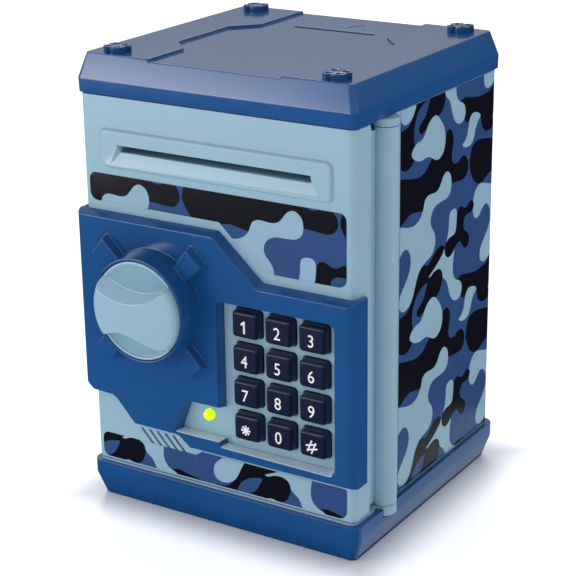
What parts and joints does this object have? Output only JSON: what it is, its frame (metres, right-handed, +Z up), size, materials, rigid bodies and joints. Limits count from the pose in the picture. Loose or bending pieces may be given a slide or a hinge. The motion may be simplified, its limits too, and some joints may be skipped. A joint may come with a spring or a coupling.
{
  "type": "toy safe coin bank",
  "caption": "Toy safe money bank with a hinged door, keypad, turning knob lock, motorised note slot and a coin slot in the lid.",
  "frame": {"origin": "centre of the underside of the base", "axes": "+Z up, -Y towards the front of the door, +X towards the hinge side (the right seen from the front)"},
  "size_m": [0.1318, 0.1389, 0.1928],
  "materials": {
    "light_plastic": "pale grey-blue moulded ABS, semi-gloss",
    "blue_plastic": "dark blue moulded ABS, glossy",
    "camo_film": "printed camouflage film, satin",
    "key_plastic": "near-black navy key caps, satin",
    "steel": "zinc-plated steel",
    "black_plastic": "black moulded plastic",
    "led": "clear green lens, lit",
    "silicone": "translucent silicone rubber",
    "board": "green solder mask",
    "battery": "printed battery sleeve",
    "rubber": "black rubber",
    "gear_plastic": "natural acetal"
  },
  "bodies": {
    "cabinet": {"base_tray": "blue_plastic", "body_shell": "light_plastic", "lid": "blue_plastic", "corner_studs": "blue_plastic", "camo_wrap": "camo_film", "hinge_pins": "steel", "base_screws": "steel", "lid_screws": "steel"},
    "door": {"door_shell": "light_plastic", "door_back": "light_plastic", "door_screws": "steel", "front_bezel": "blue_plastic", "upper_camo_film": "camo_film", "lower_camo_film": "camo_film", "led_lens": "led", "keypad_membrane": "silicone", "circuit_board": "board", "board_screws": "steel", "speaker": "black_plastic", "batteries": "battery", "battery_contacts": "steel", "battery_cover": "light_plastic", "battery_cover_screw": "steel", "note_guide": "light_plastic", "feed_frame": "black_plastic", "feed_screws": "steel", "feed_motor": "steel", "lock_solenoid": "black_plastic", "solenoid_screws": "steel"},
    "knob": {"knob": "light_plastic", "knob_spindle": "black_plastic", "lock_cam": "gear_plastic", "latch_lever": "gear_plastic", "lever_screw": "steel"},
    "feed_roller": {"feed_gear": "gear_plastic", "feed_shaft": "steel", "feed_rollers": "rubber"},
    "motor_rotor": {"motor_pinion": "gear_plastic"},
    "pinch_roller": {"pinch_shaft": "steel", "pinch_rollers": "rubber"},
    "plunger": {"lock_plunger": "steel"},
    "key_1_body": {"key_1": "key_plastic"},
    "key_2_body": {"key_2": "key_plastic"},
    "key_3_body": {"key_3": "key_plastic"},
    "key_4_body": {"key_4": "key_plastic"},
    "key_5_body": {"key_5": "key_plastic"},
    "key_6_body": {"key_6": "key_plastic"},
    "key_7_body": {"key_7": "key_plastic"},
    "key_8_body": {"key_8": "key_plastic"},
    "key_9_body": {"key_9": "key_plastic"},
    "key_star_body": {"key_star": "key_plastic"},
    "key_0_body": {"key_0": "key_plastic"},
    "key_hash_body": {"key_hash": "key_plastic"}
  },
  "joints": [
    {"name": "door_hinge", "type": "hinge", "parent": "cabinet", "child": "door", "pos_m": [0.0618, -0.035, 0.095], "axis": [0, 0, 1], "range_deg": [0, 100]},
    {"name": "knob_turn", "type": "hinge", "parent": "door", "child": "knob", "pos_m": [-0.0264, -0.059, 0.0942], "axis": [0, 1, 0], "range_deg": [0, 90]},
    {"name": "feed_roller_spin", "type": "hinge", "parent": "door", "child": "feed_roller", "pos_m": [0, -0.036, 0.14925], "axis": [1, 0, 0], "continuous": true},
    {"name": "motor_spin", "type": "hinge", "parent": "door", "child": "motor_rotor", "pos_m": [0.042, -0.036, 0.13665], "axis": [1, 0, 0], "continuous": true},
    {"name": "pinch_roller_spin", "type": "hinge", "parent": "door", "child": "pinch_roller", "pos_m": [0, -0.036, 0.15805], "axis": [1, 0, 0], "continuous": true},
    {"name": "plunger_slide", "type": "slide", "parent": "door", "child": "plunger", "axis": [1, 0, 0], "range_m": [0, 0.0028]},
    {"name": "key_1_press", "type": "slide", "parent": "door", "child": "key_1_body", "axis": [0, 1, 0], "range_m": [0, 0.0012], "stiffness_N_per_m": 250},
    {"name": "key_2_press", "type": "slide", "parent": "door", "child": "key_2_body", "axis": [0, 1, 0], "range_m": [0, 0.0012], "stiffness_N_per_m": 250},
    {"name": "key_3_press", "type": "slide", "parent": "door", "child": "key_3_body", "axis": [0, 1, 0], "range_m": [0, 0.0012], "stiffness_N_per_m": 250},
    {"name": "key_4_press", "type": "slide", "parent": "door", "child": "key_4_body", "axis": [0, 1, 0], "range_m": [0, 0.0012], "stiffness_N_per_m": 250},
    {"name": "key_5_press", "type": "slide", "parent": "door", "child": "key_5_body", "axis": [0, 1, 0], "range_m": [0, 0.0012], "stiffness_N_per_m": 250},
    {"name": "key_6_press", "type": "slide", "parent": "door", "child": "key_6_body", "axis": [0, 1, 0], "range_m": [0, 0.0012], "stiffness_N_per_m": 250},
    {"name": "key_7_press", "type": "slide", "parent": "door", "child": "key_7_body", "axis": [0, 1, 0], "range_m": [0, 0.0012], "stiffness_N_per_m": 250},
    {"name": "key_8_press", "type": "slide", "parent": "door", "child": "key_8_body", "axis": [0, 1, 0], "range_m": [0, 0.0012], "stiffness_N_per_m": 250},
    {"name": "key_9_press", "type": "slide", "parent": "door", "child": "key_9_body", "axis": [0, 1, 0], "range_m": [0, 0.0012], "stiffness_N_per_m": 250},
    {"name": "key_star_press", "type": "slide", "parent": "door", "child": "key_star_body", "axis": [0, 1, 0], "range_m": [0, 0.0012], "stiffness_N_per_m": 250},
    {"name": "key_0_press", "type": "slide", "parent": "door", "child": "key_0_body", "axis": [0, 1, 0], "range_m": [0, 0.0012], "stiffness_N_per_m": 250},
    {"name": "key_hash_press", "type": "slide", "parent": "door", "child": "key_hash_body", "axis": [0, 1, 0], "range_m": [0, 0.0012], "stiffness_N_per_m": 250}
  ],
  "couplings": [
    {"joint": "motor_spin", "follows": "feed_roller_spin", "ratio": -2.5},
    {"joint": "pinch_roller_spin", "follows": "feed_roller_spin", "ratio": -1.125}
  ]
}
